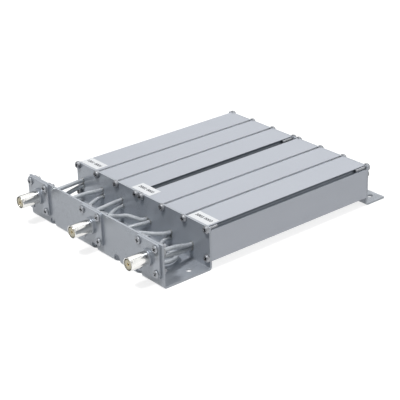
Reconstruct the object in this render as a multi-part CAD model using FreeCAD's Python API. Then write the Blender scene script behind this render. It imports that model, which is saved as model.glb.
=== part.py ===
"""Six-cavity mobile duplexer with three bayonet jacks on a folded sheet chassis.

Millimetres. +X runs along the row of jacks, +Y from the jacks to the rear foot, +Z up.
The origin lies on the mounting plane, in the middle of the four mounting holes.
"""

import FreeCAD
import Part
import math
import os

V = FreeCAD.Vector

# Mounting holes
MOUNT_PITCH_X = 138.4
MOUNT_HOLE_R = 2.25
FRONT_HOLE_SETBACK = 12.0
REAR_HOLE_SETBACK = 11.0

# Folded sheet
SHEET = 1.5
BEND_INNER_R = 1.0
TRAY_DEPTH = 39.7
PANEL_HEIGHT = 32.1
PANEL_OVERHANG = 3.2
NOTCH_SETBACK = 3.0
FOOT_LENGTH = 18.0
RELIEF_HOLE_R = 3.4
RELIEF_RISE = 1.6
RELIEF_HOLES_X = (-53.2, -0.9, 25.6, 50.2)

# Cavity extrusion
CAVITIES = 3
BLOCK_LENGTH = 149.0
BLOCK_HEIGHT = 25.4
BLOCK_GAP = 0.8
GROUND_CLEARANCE = 6.4
PORT_PITCH = 23.9
EDGE_PORT = 2.6
WALL = 1.6
SIDE_WALL = 1.2
SIDE_WALL_DROP = 2.5
CAVITY_CORNER_R = 0.8
PORT_DEPTH = 2.0
PORT_R = 1.4
PORT_BOSS_R = 2.35
SLIT_WIDTH = 2.4
LOWER_SLIT_WIDTH = 1.4

# Pan-head screws and hexagon nuts of 3 mm thread
SCREW_CLEARANCE_R = 1.6
SHANK_R = 1.35
HEAD_R = 2.85
HEAD_HEIGHT = 2.4
FLANGE_HEAD_R = 2.75
FLANGE_HEAD_HEIGHT = 1.5
HEAD_ROUND_SHARE = 0.6
FRONT_SCREW_LENGTH = 8.5
REAR_SCREW_LENGTH = 11.0
FLANGE_SCREW_LENGTH = 8.0
SMALL_NUT_FLATS = 5.5
SMALL_NUT_HEIGHT = 2.4
NUT_BORE_GAP = 0.03

# Bayonet jacks
JACKS_X = (-67.6, -1.7, 62.9)
FLANGE_SIZE = 25.4
FLANGE_MARGIN = 0.15
FLANGE_CORNER_R = 3.0
FLANGE_THICKNESS = 1.6
FLANGE_HUB_R = 6.0
FLANGE_HUB = 2.0
FLANGE_SCREW_PITCH = 18.26
JACK_REACH = 16.1
JACK_BARREL_R = 4.83
JACK_MOUTH_R = 4.07
JACK_MOUTH_DEPTH = 5.2
JACK_MOUTH_CHAMFER = 0.35
JACK_SHANK_R = 4.3
JACK_SHANK_HOLE_GAP = 0.15
JACK_SHANK_SPARE = 1.2
JACK_NUT_FLATS = 14.0
JACK_NUT_HEIGHT = 2.6
JACK_CUP_R = 4.2
JACK_CUP = 5.6
LUG_R = 1.15
LUG_TIP_R = 5.51
LUG_SETBACK = 1.8
LUG_ANGLE = 39.0
INSULATOR_R = 3.4
INSULATOR_SHOULDER_R = 2.9
INSULATOR_RECESS = 0.3
CONTACT_R = 1.05
CONTACT_RECESS = 0.5
CONTACT_SOCKET_R = 0.68
CONTACT_SOCKET_DEPTH = 5.0
SEAT_GAP = 0.02

# Coaxial leads and their bushes in the end plate
LEAD_R = 1.6
LEAD_FIT_GAP = 0.05
LEAD_STRAIGHT = 4.0
JACK_PAIR_OFFSET = 1.75
CUP_BORE_R = 3.5
BUSH_COLLAR_R = 2.05
BUSH_REACH = 0.5
BUSH_DISC_R = 2.9
BUSH_DISC = 1.2
BUSH_HOLE_GAP = 0.05
BEND_SHARE = 0.45

# Seats of the two leads of each cavity: from its middle, and from the underside of the block
LEAD_SEATS = (((-8.35, 11.8), (-8.15, 7.5)),
              ((-7.15, 12.4), (-6.55, 7.2)),
              ((-6.95, 12.3), (-6.05, 7.7)),
              ((-7.55, 7.5), (-3.95, 6.4)),
              ((-3.95, 7.0), (-4.35, 3.05)),
              ((-4.65, 6.6), (-5.45, 3.1)))

# Coupling probes
PROBE_HEAD_R = 1.2
PROBE_HEAD = 0.6
PROBE_PIN_R = 0.65
PROBE_HOLE_R = 1.6
PROBE_LENGTH = 8.5
PROBE_DISC_R = 2.9
PROBE_DISC = 0.8

# Resonators and tuning screws
RESONATOR_HEIGHT = 17.0
RESONATOR_R = 5.0
RESONATOR_BORE_R = 3.5
OPEN_END_GAP = 12.5
GUIDE_LENGTH = 12.0
SPIGOT_R = 4.0
SPIGOT_SPARE = 0.6
SPIGOT_HOLE_GAP = 0.05
SPIGOT_NUT_FLATS = 13.0
SPIGOT_NUT_HEIGHT = 4.0
TUNING_R = 2.5
TUNING_RUNNING_GAP = 0.08
TUNING_REACH_IN = 5.0
TUNING_REACH_OUT = 15.0
TUNING_ROUND_R = 1.2
TUNING_SLOT = 0.8
TUNING_SLOT_DEPTH = 1.3
LOCK_NUT_FLATS = 8.0
LOCK_NUT_HEIGHT = 2.7

# Port labels
LABEL_WIDTH = 21.0
LABEL_DEPTH = 10.5
LABEL_THICKNESS = 0.12
LABEL_SETBACK = 0.3
LABELS_X = (-64.7, -0.7, 63.0)

# Places worked out from the sizes above
MOUNT_PITCH_Y = FRONT_HOLE_SETBACK + REAR_HOLE_SETBACK + 2 * SHEET + BLOCK_LENGTH
PLATE_FRONT = -MOUNT_PITCH_Y / 2 + FRONT_HOLE_SETBACK
BLOCK_FRONT = PLATE_FRONT + SHEET
BLOCK_REAR = BLOCK_FRONT + BLOCK_LENGTH
PLATE_REAR = BLOCK_REAR + SHEET
PANEL_FRONT = PLATE_FRONT - TRAY_DEPTH
PANEL_REAR = PANEL_FRONT + SHEET
FLANGE_FRONT = PANEL_FRONT - FLANGE_THICKNESS
BLOCK_WIDTH = 2 * EDGE_PORT + CAVITIES * PORT_PITCH
HALF_WIDTH = BLOCK_WIDTH + BLOCK_GAP / 2
TOP = GROUND_CLEARANCE + BLOCK_HEIGHT
UPPER_PORT_Z = TOP - PORT_DEPTH
LOWER_PORT_Z = GROUND_CLEARANCE + PORT_DEPTH
BEND_OUTER_R = BEND_INNER_R + SHEET
JACK_Z = PANEL_HEIGHT - FLANGE_MARGIN - FLANGE_SIZE / 2
OPEN_END = BLOCK_FRONT + PROBE_LENGTH + OPEN_END_GAP
CUP_END = PANEL_REAR + JACK_NUT_HEIGHT + JACK_SHANK_SPARE + JACK_CUP
CUP_FLOOR = CUP_END - JACK_CUP
BLOCKS_X = (-HALF_WIDTH, BLOCK_GAP / 2)


def plan(x, y):
    return V(x, y, 0)


def front_view(x, z):
    return V(x, 0, z)


def side_view(y, z):
    return V(0, y, z)


def outline(corners, place):
    """Closed wire through (u, v, radius) corners, with a tangent arc where the radius is not zero."""
    points = [place(u, v) for u, v, _ in corners]
    count = len(points)
    starts = []
    ends = []
    arcs = []
    for i, point in enumerate(points):
        radius = corners[i][2]
        before = (points[i - 1] - point).normalize()
        after = (points[(i + 1) % count] - point).normalize()
        if not radius:
            starts.append(point)
            ends.append(point)
            arcs.append(None)
            continue
        half_angle = before.getAngle(after) / 2
        tangent = radius / math.tan(half_angle)
        middle = point + (before + after).normalize() * (radius / math.sin(half_angle) - radius)
        starts.append(point + before * tangent)
        ends.append(point + after * tangent)
        arcs.append(Part.Arc(starts[-1], middle, ends[-1]).toShape())
    edges = []
    for i in range(count):
        if arcs[i]:
            edges.append(arcs[i])
        following = starts[(i + 1) % count]
        if (following - ends[i]).Length > 1e-6:
            edges.append(Part.LineSegment(ends[i], following).toShape())
    return Part.Wire(Part.__sortEdges__(edges))


def rectangle(u0, v0, u1, v1, radius, place):
    return outline([(u0, v0, radius), (u1, v0, radius), (u1, v1, radius), (u0, v1, radius)], place)


def bar(section, y0, y1):
    """Straight bar along Y with a section drawn in the front view."""
    return Part.Face(section).extrude(V(0, y1 - y0, 0)).translate(V(0, y0, 0))


def rod_y(x, z, radius, y0, y1):
    """Round rod along Y between two places."""
    return Part.makeCylinder(radius, y1 - y0, V(x, y0, z), V(0, 1, 0))


def turned(profile, x, z):
    """Turned solid about the line along Y through (x, z), from (radius, y, rounding) corners."""
    face = Part.Face(outline(profile, plan))
    solid = face.revolve(V(0, 0, 0), V(0, 1, 0), 360)
    return solid.translate(V(x, 0, z))


def sharp(*points):
    """Corners of an outline without rounding."""
    return [(u, v, 0) for u, v in points]


def hexagon_nut(x, z, flats, bore_r, y0, height):
    """Hexagon nut round the line along Y through (x, z)."""
    corner_r = flats / math.sqrt(3)
    turns = [math.radians(60 * k) for k in range(6)]
    corners = [(x + corner_r * math.cos(turn), z + corner_r * math.sin(turn)) for turn in turns]
    body = bar(outline(sharp(*corners), front_view), y0, y0 + height)
    return body.cut(rod_y(x, z, bore_r, y0, y0 + height))


def pan_screw(head_r, head_height, length):
    """Pan-head screw at the origin, its head in front of the plane y = 0 and its shank behind."""
    head = [(0, -head_height, 0), (head_r, -head_height, HEAD_ROUND_SHARE * head_height)]
    return turned(head + sharp((head_r, 0), (SHANK_R, 0), (SHANK_R, length), (0, length)), 0, 0)


def screws_at(places, seat, screw):
    """Copies of one screw at places (x, z) on the plane y = seat."""
    return Part.makeCompound([screw.translated(V(x, seat, z)) for x, z in places])


def ports_x(block_x):
    """Places across the part of the screw ports of the extrusion whose left face is at block_x."""
    return [block_x + EDGE_PORT + k * PORT_PITCH for k in range(CAVITIES + 1)]


def cavities_x():
    """Places across the part of the middles of the six cavities, from left to right."""
    return [block_x + EDGE_PORT + (k + 0.5) * PORT_PITCH for block_x in BLOCKS_X for k in range(CAVITIES)]


def lead_seats():
    """Upper and lower place (x, z) where a lead enters each cavity."""
    return [[(x + dx, GROUND_CLEARANCE + height) for dx, height in seats]
            for x, seats in zip(cavities_x(), LEAD_SEATS)]


def between(seats):
    """Place half-way between two seats."""
    (x0, z0), (x1, z1) = seats
    return (x0 + x1) / 2, (z0 + z1) / 2


def cavity_block(block_x):
    """Extrusion of three cavities, with C-shaped screw ports along its top and bottom edges."""
    bottom = GROUND_CLEARANCE
    right = block_x + BLOCK_WIDTH
    ports = ports_x(block_x)
    upper = [(x, UPPER_PORT_Z) for x in ports]
    lower = [(ports[0], LOWER_PORT_Z), (ports[-1], LOWER_PORT_Z)]

    def along_block(u0, v0, u1, v1, radius=0):
        return bar(rectangle(min(u0, u1), v0, max(u0, u1), v1, radius, front_view), BLOCK_FRONT, BLOCK_REAR)

    envelope = along_block(block_x, bottom, right, TOP)
    chambers = []
    for k in range(CAVITIES):
        left_wall = block_x + SIDE_WALL if k == 0 else ports[k] + WALL / 2
        right_wall = right - SIDE_WALL if k == CAVITIES - 1 else ports[k + 1] - WALL / 2
        chambers.append(along_block(left_wall, bottom + WALL, right_wall, TOP - WALL, CAVITY_CORNER_R))
    bosses = [rod_y(x, z, PORT_BOSS_R, BLOCK_FRONT, BLOCK_REAR).common(envelope) for x, z in upper + lower]
    cuts = [rod_y(x, z, PORT_R, BLOCK_FRONT, BLOCK_REAR) for x, z in upper + lower]
    for x in ports[1:-1]:
        cuts.append(along_block(x - SLIT_WIDTH / 2, UPPER_PORT_Z, x + SLIT_WIDTH / 2, TOP + WALL))
    for x, outside in ((ports[0], block_x - WALL), (ports[-1], right + WALL)):
        cuts.append(along_block(x, TOP - SIDE_WALL_DROP, outside, TOP + WALL))
    half_slit = LOWER_SLIT_WIDTH / 2
    for x, inward in ((ports[0], 1), (ports[-1], -1)):
        reach = x + inward * (PORT_BOSS_R + WALL)
        cuts.append(along_block(x, LOWER_PORT_Z - half_slit, reach, LOWER_PORT_Z + half_slit))
    return envelope.cut(chambers).fuse(bosses).cut(cuts).removeSplitter()


def block_screw_places():
    """Places (x, z) of the screws that hold a plate along the top of both extrusions."""
    return [(x, UPPER_PORT_Z) for block_x in BLOCKS_X for x in ports_x(block_x)]


def lower_screw_places():
    """Places (x, z) of the two screws in the lower outer corners of the end plate."""
    return [(ports_x(BLOCKS_X[0])[0], LOWER_PORT_Z), (ports_x(BLOCKS_X[1])[-1], LOWER_PORT_Z)]


def flange_screw_places(jack_x):
    half = FLANGE_SCREW_PITCH / 2
    return [(jack_x + a * half, JACK_Z + b * half) for a in (-1, 1) for b in (-1, 1)]


def mounting_hole(x, y):
    return Part.makeCylinder(MOUNT_HOLE_R, 3 * SHEET, V(x, y, -SHEET))


def bend_relief(x):
    """Round hole punched through the bend between the floor and the connector panel."""
    middle = V(x, PANEL_FRONT + SHEET / 2, SHEET / 2 + RELIEF_RISE)
    along = V(0, -1, -1).normalize()
    reach = 2 * BEND_OUTER_R + RELIEF_HOLE_R
    return Part.makeCylinder(RELIEF_HOLE_R, 2 * reach, middle - along * reach, along)


def front_chassis():
    """End plate, tray floor and connector panel, folded from one sheet."""
    section = outline([(BLOCK_FRONT, TOP, 0), (BLOCK_FRONT, 0, BEND_OUTER_R),
                       (PANEL_FRONT, 0, BEND_OUTER_R), (PANEL_FRONT, PANEL_HEIGHT, 0),
                       (PANEL_REAR, PANEL_HEIGHT, 0), (PANEL_REAR, SHEET, BEND_INNER_R),
                       (PLATE_FRONT, SHEET, BEND_INNER_R), (PLATE_FRONT, TOP, 0)], side_view)
    width = 2 * HALF_WIDTH + PANEL_OVERHANG
    body = Part.Face(section).extrude(V(width, 0, 0)).translate(V(-HALF_WIDTH - PANEL_OVERHANG, 0, 0))
    notch = Part.makeBox(2 * PANEL_OVERHANG, NOTCH_SETBACK + 2 * SHEET, 2 * TOP,
                         V(-HALF_WIDTH - 2 * PANEL_OVERHANG, PLATE_FRONT - NOTCH_SETBACK, -SHEET))
    cutters = [notch]
    for x, z in block_screw_places() + lower_screw_places():
        cutters.append(rod_y(x, z, SCREW_CLEARANCE_R, PLATE_FRONT - SHEET, BLOCK_FRONT + SHEET))
    for x, z in [seat for seats in lead_seats() for seat in seats]:
        cutters.append(rod_y(x, z, BUSH_COLLAR_R + BUSH_HOLE_GAP, PLATE_FRONT - SHEET, BLOCK_FRONT + SHEET))
    for jack_x in JACKS_X:
        cutters.append(rod_y(jack_x, JACK_Z, JACK_SHANK_R + JACK_SHANK_HOLE_GAP, PANEL_FRONT - SHEET,
                             PANEL_REAR + SHEET))
        for x, z in flange_screw_places(jack_x):
            cutters.append(rod_y(x, z, SCREW_CLEARANCE_R, PANEL_FRONT - SHEET, PANEL_REAR + SHEET))
    for x in (-MOUNT_PITCH_X / 2, MOUNT_PITCH_X / 2):
        cutters.append(mounting_hole(x, -MOUNT_PITCH_Y / 2))
    for x in RELIEF_HOLES_X:
        cutters.append(bend_relief(x))
    return body.cut(cutters)


def rear_bracket():
    """Rear plate with its foot bent outward, from one sheet."""
    foot_end = PLATE_REAR + FOOT_LENGTH
    section = outline([(BLOCK_REAR, TOP, 0), (BLOCK_REAR, 0, BEND_OUTER_R), (foot_end, 0, 0),
                       (foot_end, SHEET, 0), (PLATE_REAR, SHEET, BEND_INNER_R), (PLATE_REAR, TOP, 0)],
                      side_view)
    body = Part.Face(section).extrude(V(2 * HALF_WIDTH, 0, 0)).translate(V(-HALF_WIDTH, 0, 0))
    cutters = []
    for x, z in block_screw_places():
        cutters.append(rod_y(x, z, SCREW_CLEARANCE_R, BLOCK_REAR - SHEET, PLATE_REAR + SHEET))
    for x in cavities_x():
        cutters.append(rod_y(x, RESONATOR_HEIGHT, SPIGOT_R + SPIGOT_HOLE_GAP, BLOCK_REAR - SHEET,
                             PLATE_REAR + SHEET))
    for x in (-MOUNT_PITCH_X / 2, MOUNT_PITCH_X / 2):
        cutters.append(mounting_hole(x, MOUNT_PITCH_Y / 2))
    return body.cut(cutters)


def front_plate_screws():
    screw = pan_screw(HEAD_R, HEAD_HEIGHT, FRONT_SCREW_LENGTH)
    return screws_at(block_screw_places() + lower_screw_places(), PLATE_FRONT, screw)


def rear_plate_screws():
    screw = pan_screw(HEAD_R, HEAD_HEIGHT, REAR_SCREW_LENGTH)
    screw.rotate(V(0, 0, 0), V(0, 0, 1), 180)
    return screws_at(block_screw_places(), PLATE_REAR, screw)


def flange_plate(jack_x):
    """Square four-hole plate with the round hub that the barrel of a jack stands on."""
    half = FLANGE_SIZE / 2
    border = rectangle(jack_x - half, JACK_Z - half, jack_x + half, JACK_Z + half, FLANGE_CORNER_R,
                       front_view)
    hub_front = FLANGE_FRONT - FLANGE_HUB
    hub = rod_y(jack_x, JACK_Z, FLANGE_HUB_R, hub_front, FLANGE_FRONT)
    body = bar(border, FLANGE_FRONT, PANEL_FRONT).fuse(hub)
    holes = [rod_y(jack_x, JACK_Z, JACK_SHANK_R + JACK_SHANK_HOLE_GAP, hub_front, PANEL_FRONT)]
    for x, z in flange_screw_places(jack_x):
        holes.append(rod_y(x, z, SCREW_CLEARANCE_R, FLANGE_FRONT, PANEL_FRONT))
    return body.cut(holes)


def flange_screws():
    places = [place for jack_x in JACKS_X for place in flange_screw_places(jack_x)]
    screw = pan_screw(FLANGE_HEAD_R, FLANGE_HEAD_HEIGHT, FLANGE_SCREW_LENGTH)
    return screws_at(places, FLANGE_FRONT, screw)


def flange_nuts():
    bore_r = SHANK_R + NUT_BORE_GAP
    return Part.makeCompound([hexagon_nut(x, z, SMALL_NUT_FLATS, bore_r, PANEL_REAR, SMALL_NUT_HEIGHT)
                              for jack_x in JACKS_X for x, z in flange_screw_places(jack_x)])


def jack_body(jack_x):
    """Turned shell of a jack: barrel and mouth in front, shank and solder cup behind, two bayonet lugs."""
    mouth = FLANGE_FRONT - JACK_REACH
    mouth_floor = mouth + JACK_MOUTH_DEPTH
    bore_r = INSULATOR_SHOULDER_R + SEAT_GAP
    shoulder = FLANGE_FRONT - FLANGE_HUB
    profile = sharp((JACK_MOUTH_R, mouth), (JACK_BARREL_R - JACK_MOUTH_CHAMFER, mouth),
                    (JACK_BARREL_R, mouth + JACK_MOUTH_CHAMFER), (JACK_BARREL_R, shoulder),
                    (JACK_SHANK_R, shoulder), (JACK_SHANK_R, CUP_FLOOR), (JACK_CUP_R, CUP_FLOOR),
                    (JACK_CUP_R, CUP_END), (CUP_BORE_R, CUP_END), (CUP_BORE_R, CUP_FLOOR),
                    (bore_r, CUP_FLOOR), (bore_r, mouth_floor), (JACK_MOUTH_R, mouth_floor))
    body = turned(profile, jack_x, JACK_Z)
    for angle in (LUG_ANGLE, LUG_ANGLE + 180):
        outward = V(math.cos(math.radians(angle)), 0, math.sin(math.radians(angle)))
        root_r = (JACK_MOUTH_R + JACK_BARREL_R) / 2
        root = V(jack_x, mouth + LUG_SETBACK, JACK_Z) + outward * root_r
        body = body.fuse(Part.makeCylinder(LUG_R, LUG_TIP_R - root_r, root, outward))
    return body


def jack_insulator(jack_x):
    """PTFE bead that carries the centre contact, wider where it stands on the floor of the mouth."""
    mouth = FLANGE_FRONT - JACK_REACH
    mouth_floor = mouth + JACK_MOUTH_DEPTH
    bore_r = CONTACT_R + SEAT_GAP
    return turned(sharp((bore_r, mouth + INSULATOR_RECESS), (INSULATOR_R, mouth + INSULATOR_RECESS),
                        (INSULATOR_R, mouth_floor), (INSULATOR_SHOULDER_R, mouth_floor),
                        (INSULATOR_SHOULDER_R, CUP_FLOOR), (bore_r, CUP_FLOOR)), jack_x, JACK_Z)


def jack_contact(jack_x):
    """Centre contact with its socket open to the front and its tail ending at the floor of the cup."""
    tip = FLANGE_FRONT - JACK_REACH + CONTACT_RECESS
    return turned(sharp((CONTACT_SOCKET_R, tip), (CONTACT_R, tip), (CONTACT_R, CUP_FLOOR), (0, CUP_FLOOR),
                        (0, tip + CONTACT_SOCKET_DEPTH), (CONTACT_SOCKET_R, tip + CONTACT_SOCKET_DEPTH)),
                  jack_x, JACK_Z)


def jack_nuts():
    bore_r = JACK_SHANK_R + NUT_BORE_GAP
    return Part.makeCompound([hexagon_nut(x, JACK_Z, JACK_NUT_FLATS, bore_r, PANEL_REAR, JACK_NUT_HEIGHT)
                              for x in JACKS_X])


def cable_bush(seats):
    """Disc behind the end plate with two collars through it, one round each lead of a cavity."""
    x, z = between(seats)
    body = rod_y(x, z, BUSH_DISC_R, BLOCK_FRONT, BLOCK_FRONT + BUSH_DISC)
    collars = [rod_y(u, v, BUSH_COLLAR_R, PLATE_FRONT - BUSH_REACH, BLOCK_FRONT) for u, v in seats]
    bores = [rod_y(u, v, LEAD_R + LEAD_FIT_GAP, PLATE_FRONT - BUSH_REACH, BLOCK_FRONT) for u, v in seats]
    bores.append(rod_y(x, z, PROBE_HOLE_R, BLOCK_FRONT, BLOCK_FRONT + BUSH_DISC))
    return body.fuse(collars).cut(bores).removeSplitter()


def coupling_probe(seats):
    """Pin from the ends of both leads to a disc in front of the open end of the resonator."""
    x, z = between(seats)
    head_end = BLOCK_FRONT + PROBE_HEAD
    disc_end = BLOCK_FRONT + PROBE_LENGTH
    disc_start = disc_end - PROBE_DISC
    return turned(sharp((0, BLOCK_FRONT), (PROBE_HEAD_R, BLOCK_FRONT), (PROBE_HEAD_R, head_end),
                        (PROBE_PIN_R, head_end), (PROBE_PIN_R, disc_start),
                        (PROBE_DISC_R, disc_start), (PROBE_DISC_R, disc_end), (0, disc_end)), x, z)


def resonator(x):
    """Quarter-wave tube on the rear plate, with a guide for the tuning screw and a threaded spigot."""
    guide_start = BLOCK_REAR - GUIDE_LENGTH
    spigot_end = PLATE_REAR + SPIGOT_NUT_HEIGHT + SPIGOT_SPARE
    guide_r = TUNING_R + TUNING_RUNNING_GAP
    return turned(sharp((RESONATOR_BORE_R, OPEN_END), (RESONATOR_R, OPEN_END), (RESONATOR_R, BLOCK_REAR),
                        (SPIGOT_R, BLOCK_REAR), (SPIGOT_R, spigot_end), (guide_r, spigot_end),
                        (guide_r, guide_start), (RESONATOR_BORE_R, guide_start)), x, RESONATOR_HEIGHT)


def tuning_screw(x):
    """Long threaded rod through the resonator, with a rounded and slotted end behind the rear plate."""
    inner_end = OPEN_END - TUNING_REACH_IN
    outer_end = PLATE_REAR + TUNING_REACH_OUT
    outer = [(TUNING_R, outer_end, TUNING_ROUND_R), (0, outer_end, 0)]
    rod = turned(sharp((0, inner_end), (TUNING_R, inner_end)) + outer, x, RESONATOR_HEIGHT)
    slot_floor = outer_end - TUNING_SLOT_DEPTH
    half_slot = TUNING_SLOT / 2
    slot = rectangle(x - 2 * TUNING_R, RESONATOR_HEIGHT - half_slot, x + 2 * TUNING_R,
                     RESONATOR_HEIGHT + half_slot, 0, front_view)
    return rod.cut(bar(slot, slot_floor, outer_end + TUNING_SLOT_DEPTH))


def resonator_nuts():
    bore_r = SPIGOT_R + NUT_BORE_GAP
    return Part.makeCompound([hexagon_nut(x, RESONATOR_HEIGHT, SPIGOT_NUT_FLATS, bore_r, PLATE_REAR,
                                          SPIGOT_NUT_HEIGHT)
                              for x in cavities_x()])


def tuning_lock_nuts():
    seat = PLATE_REAR + SPIGOT_NUT_HEIGHT + SPIGOT_SPARE
    bore_r = TUNING_R + TUNING_RUNNING_GAP
    return Part.makeCompound([hexagon_nut(x, RESONATOR_HEIGHT, LOCK_NUT_FLATS, bore_r, seat,
                                          LOCK_NUT_HEIGHT)
                              for x in cavities_x()])


def port_label(x):
    """Paper label on top of the block, at its front edge."""
    front = BLOCK_FRONT + LABEL_SETBACK
    border = rectangle(x - LABEL_WIDTH / 2, front, x + LABEL_WIDTH / 2, front + LABEL_DEPTH, 0, plan)
    return Part.Face(border).extrude(V(0, 0, LABEL_THICKNESS)).translate(V(0, 0, TOP))


# Lead routes
def seat_end(cavity, seat):
    """Two points that run a lead straight out of a cavity; seat 0 is the upper one, 1 the lower."""
    x, z = lead_seats()[cavity][seat]
    return [V(x, BLOCK_FRONT, z), V(x, PLATE_FRONT - LEAD_STRAIGHT, z)]


def jack_end(jack, side):
    """Two points that run a lead straight out of a jack's cup; side is 1 upper, -1 lower, 0 middle."""
    x = JACKS_X[jack]
    z = JACK_Z + side * JACK_PAIR_OFFSET
    return [V(x, CUP_FLOOR, z), V(x, CUP_END + LEAD_STRAIGHT, z)]


def tray(*places):
    """Points chosen by hand along a lead, from (x, y in front of the end plate, z)."""
    return [V(x, PLATE_FRONT + y, z) for x, y, z in places]


def lead_routes():
    """Points of the eight leads, from the left jack through cavities 1 to 6 to the right jack."""
    return [
        jack_end(0, 0) + tray((-69.2, -14, 18.8)) + seat_end(0, 0)[::-1],
        seat_end(0, 1)
        + tray((-70.4, -12, 12.6), (-70.8, -20, 10.6), (-69.6, -27, 9.4), (-64.5, -31.5, 9.0),
               (-57.0, -29.5, 13.4), (-51.0, -21.5, 17.4), (-47.4, -12.5, 19.4))
        + seat_end(1, 0)[::-1],
        seat_end(1, 1)
        + tray((-43.6, -12.5, 11.8), (-41.2, -21.5, 10.0), (-36.0, -29, 10.2), (-28.0, -29.5, 12.6),
               (-22.8, -21.5, 16.8), (-21.2, -12.5, 18.6))
        + seat_end(2, 0)[::-1],
        seat_end(2, 1)
        + tray((-18.8, -10.5, 13.4), (-15.4, -17, 12.8), (-8.6, -20, 13.2))
        + jack_end(1, -1)[::-1],
        jack_end(1, 1)
        + tray((-2.5, -17.5, 17.9), (-1.4, -10.6, 16.9), (3.2, -7.8, 15.9))
        + seat_end(3, 0)[::-1],
        seat_end(3, 1)
        + tray((9.2, -9.2, 12.6), (4.8, -15.4, 10.8), (-0.6, -20.4, 8.8), (-4.4, -27.4, 8.2),
               (1.4, -33.0, 9.2), (9.0, -27.4, 11.2), (15.4, -20.6, 12.8), (22.4, -15.4, 13.4),
               (30.2, -11.2, 13.9))
        + seat_end(4, 0)[::-1],
        seat_end(4, 1)
        + tray((36.0, -10.2, 8.2), (41.6, -12.8, 6.6), (48.2, -8.6, 5.6), (54.2, -9.2, 5.4),
               (57.6, -17, 5.6), (54.6, -28.6, 6.0), (60.2, -29.2, 12.9), (60.4, -20.5, 12.8),
               (58.6, -12.0, 10.6))
        + seat_end(5, 1)[::-1],
        seat_end(5, 0) + tray((58.9, -11, 15.2), (61.2, -18, 17.6)) + jack_end(2, 0)[::-1],
    ]


def bend(start, direction, centre, axis, turn):
    """Piece of a ring: the round section at start swung about an axis through the centre."""
    section = Part.Face(Part.Wire(Part.makeCircle(LEAD_R, start, direction)))
    return section.revolve(centre, axis, math.degrees(turn))


def coax_lead(name, points):
    """Round lead along straight runs joined by tangent arcs, each as wide as its two runs allow."""
    runs = [b - a for a, b in zip(points, points[1:])]
    start = points[0]
    pieces = []
    radii = []
    length = 0
    for point, before, after in zip(points[1:-1], runs, runs[1:]):
        turn = before.getAngle(after)
        tangent = BEND_SHARE * min(before.Length, after.Length)
        radius = tangent / math.tan(turn / 2)
        incoming = V(before).normalize()
        outgoing = V(after).normalize()
        arc_start = point - incoming * tangent
        centre = point + (outgoing - incoming).normalize() * (radius / math.cos(turn / 2))
        straight = (arc_start - start).Length
        pieces.append(Part.makeCylinder(LEAD_R, straight, start, incoming))
        pieces.append(bend(arc_start, incoming, centre, incoming.cross(outgoing), turn))
        radii.append(round(radius, 1))
        length += straight + radius * turn
        start = point + outgoing * tangent
    last = points[-1] - start
    pieces.append(Part.makeCylinder(LEAD_R, last.Length, start, last))
    length += last.Length
    tube = pieces[0].fuse(pieces[1:])
    share = tube.Volume / (math.pi * LEAD_R ** 2 * length)
    print(f"{name}: length {length:.1f}, radii {radii}, volume over section times length {share:.4f}")
    return tube


def numbered(name, shapes):
    return {f"{name}_{i + 1}": shape for i, shape in enumerate(shapes)}


def build():
    nodes = {
        "cavity_block_left": cavity_block(BLOCKS_X[0]),
        "cavity_block_right": cavity_block(BLOCKS_X[1]),
        "front_chassis": front_chassis(),
        "rear_bracket": rear_bracket(),
        "front_plate_screws": front_plate_screws(),
        "rear_plate_screws": rear_plate_screws(),
        "flange_screws": flange_screws(),
        "flange_nuts": flange_nuts(),
        "jack_nuts": jack_nuts(),
        "resonator_nuts": resonator_nuts(),
        "tuning_lock_nuts": tuning_lock_nuts(),
    }
    nodes.update(numbered("flange_plate", [flange_plate(x) for x in JACKS_X]))
    nodes.update(numbered("jack_body", [jack_body(x) for x in JACKS_X]))
    nodes.update(numbered("jack_insulator", [jack_insulator(x) for x in JACKS_X]))
    nodes.update(numbered("jack_contact", [jack_contact(x) for x in JACKS_X]))
    nodes.update(numbered("port_label", [port_label(x) for x in LABELS_X]))
    nodes.update(numbered("cable_bush", [cable_bush(seats) for seats in lead_seats()]))
    nodes.update(numbered("coupling_probe", [coupling_probe(seats) for seats in lead_seats()]))
    nodes.update(numbered("resonator", [resonator(x) for x in cavities_x()]))
    nodes.update(numbered("tuning_screw", [tuning_screw(x) for x in cavities_x()]))
    nodes.update(numbered("coax_lead", [coax_lead(f"lead {i + 1}", route)
                                        for i, route in enumerate(lead_routes())]))
    return nodes


os.makedirs("parts", exist_ok=True)
for node_name, node_shape in build().items():
    node_shape.exportStep(f"parts/{node_name}.step")
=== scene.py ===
import bmesh
import bpy
import math
import numpy as np
from mathutils import Matrix, Vector


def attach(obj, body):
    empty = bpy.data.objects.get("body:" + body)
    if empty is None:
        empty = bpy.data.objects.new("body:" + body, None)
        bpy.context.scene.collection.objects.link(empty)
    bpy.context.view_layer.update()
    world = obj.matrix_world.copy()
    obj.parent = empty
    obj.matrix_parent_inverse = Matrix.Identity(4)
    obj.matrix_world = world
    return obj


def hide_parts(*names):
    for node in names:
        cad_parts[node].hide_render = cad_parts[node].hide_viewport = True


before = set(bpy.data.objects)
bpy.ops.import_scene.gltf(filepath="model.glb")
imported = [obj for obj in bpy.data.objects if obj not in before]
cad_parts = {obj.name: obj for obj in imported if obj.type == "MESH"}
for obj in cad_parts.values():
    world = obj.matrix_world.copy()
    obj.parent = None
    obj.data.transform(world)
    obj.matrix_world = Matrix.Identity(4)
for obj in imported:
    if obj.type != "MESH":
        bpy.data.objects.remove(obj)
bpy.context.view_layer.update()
MM = 0.001

# Camera, as solved from the photograph
CAMERA_AT = (0.6565, -0.54945, 0.39882)
CAMERA_YAW = math.radians(-51.133)
CAMERA_PITCH = math.radians(24.835)
CAMERA_ROLL = math.radians(-1.734)
CAMERA_LENS = 113.25
SENSOR_WIDTH = 36

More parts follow.
